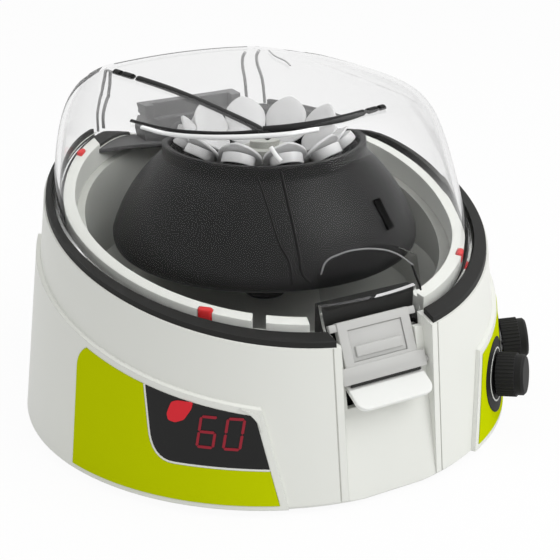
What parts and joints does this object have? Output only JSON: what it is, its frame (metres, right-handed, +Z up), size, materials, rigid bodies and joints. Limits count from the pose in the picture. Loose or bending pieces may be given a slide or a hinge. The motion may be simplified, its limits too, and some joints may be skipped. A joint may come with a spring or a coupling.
{
  "type": "laboratory centrifuge",
  "caption": "Small bench centrifuge with a sloping drum body, clear hinged lid over a cone rotor with sample tubes, press latch, display panel and knobs.",
  "frame": {"origin": "middle of the outline on the table, at the underside of the feet", "axes": "+X to the right as seen from the latch, +Y towards the hinge, +Z up along the rotor axis"},
  "size_m": [0.2256, 0.2019, 0.149],
  "materials": {
    "white_shell": "satin moulded",
    "black_plastic": "fine grain",
    "charcoal_plastic": "fine grain",
    "black_rubber": "matt",
    "red_rubber": "matt",
    "clear_plastic": "clear polished",
    "grey_metal": "bead blasted",
    "motor_paint": "semi-gloss",
    "steel": "bright",
    "green_panel": "printed film",
    "dark_window": "tinted",
    "red_light": "lit",
    "circuit_board": "lacquered",
    "tube_plastic": "translucent",
    "pin_brass": "plated",
    "lead_rubber": "insulated"
  },
  "bodies": {
    "frame": {"body_shell": "white_shell", "inner_rim": "white_shell", "display_bezel": "white_shell", "dial_rings": "white_shell", "base_plate": "black_plastic", "rim_ring": "black_plastic", "hinge_cover": "black_plastic", "hinge_block": "black_plastic", "lid_switch": "black_plastic", "latch_baffle": "black_plastic", "dial_discs": "black_plastic", "power_inlet": "black_plastic", "power_switch": "black_plastic", "speed_encoder": "black_plastic", "time_encoder": "black_plastic", "rubber_feet": "black_rubber", "motor_dampers": "black_rubber", "shaft_seal": "black_rubber", "lid_buffers": "red_rubber", "rotor_bowl": "grey_metal", "motor_bracket": "grey_metal", "motor_can": "motor_paint", "base_screws": "steel", "hinge_pin": "steel", "latch_pin": "steel", "latch_spring": "steel", "encoder_nuts": "steel", "motor_screws": "steel", "display_panel": "green_panel", "knob_panel": "green_panel", "display_window": "dark_window", "display_digits": "red_light", "speed_lamp": "red_light", "display_board": "circuit_board", "main_board": "circuit_board", "power_supply": "circuit_board", "inlet_pins": "pin_brass", "inlet_leads": "lead_rubber"},
    "lid": {"lid_dome": "clear_plastic", "lid_catch": "clear_plastic", "lid_arms": "black_plastic", "arm_screws": "steel"},
    "latch": {"latch_lever": "white_shell", "latch_inset": "white_shell"},
    "rotor": {"motor_shaft": "steel", "rotor_cone": "charcoal_plastic", "rotor_nut": "grey_metal", "sample_tubes": "tube_plastic", "tube_caps": "tube_plastic"},
    "speed_dial": {"speed_knob": "charcoal_plastic", "speed_shaft": "steel"},
    "time_dial": {"time_knob": "charcoal_plastic", "time_shaft": "steel"},
    "rocker": {"power_rocker": "charcoal_plastic"}
  },
  "joints": [
    {"name": "lid_hinge", "type": "hinge", "parent": "frame", "child": "lid", "pos_m": [0, 0.09729, 0.113], "axis": [-1, 0, 0], "range_deg": [0, 100]},
    {"name": "latch_press", "type": "hinge", "parent": "frame", "child": "latch", "pos_m": [0, -0.08851, 0.053], "axis": [1, 0, 0], "range_deg": [0, 12], "stiffness_Nm_per_rad": 0.08, "springref_deg": -11.46},
    {"name": "rotor_spin", "type": "hinge", "parent": "frame", "child": "rotor", "pos_m": [0, 0.00929, 0.1], "axis": [0, 0, 1], "continuous": true},
    {"name": "speed_turn", "type": "hinge", "parent": "frame", "child": "speed_dial", "pos_m": [0.07088, -0.07224, 0.0265], "axis": [0.6513, -0.7492, 0.1201], "continuous": true},
    {"name": "time_turn", "type": "hinge", "parent": "frame", "child": "time_dial", "pos_m": [0.09356, -0.04473, 0.0265], "axis": [0.8598, -0.4964, 0.1201], "continuous": true},
    {"name": "rocker_tip", "type": "hinge", "parent": "frame", "child": "rocker", "pos_m": [0.024, 0.09229, 0.036], "axis": [-1, 0, 0], "range_deg": [0, 18]}
  ]
}
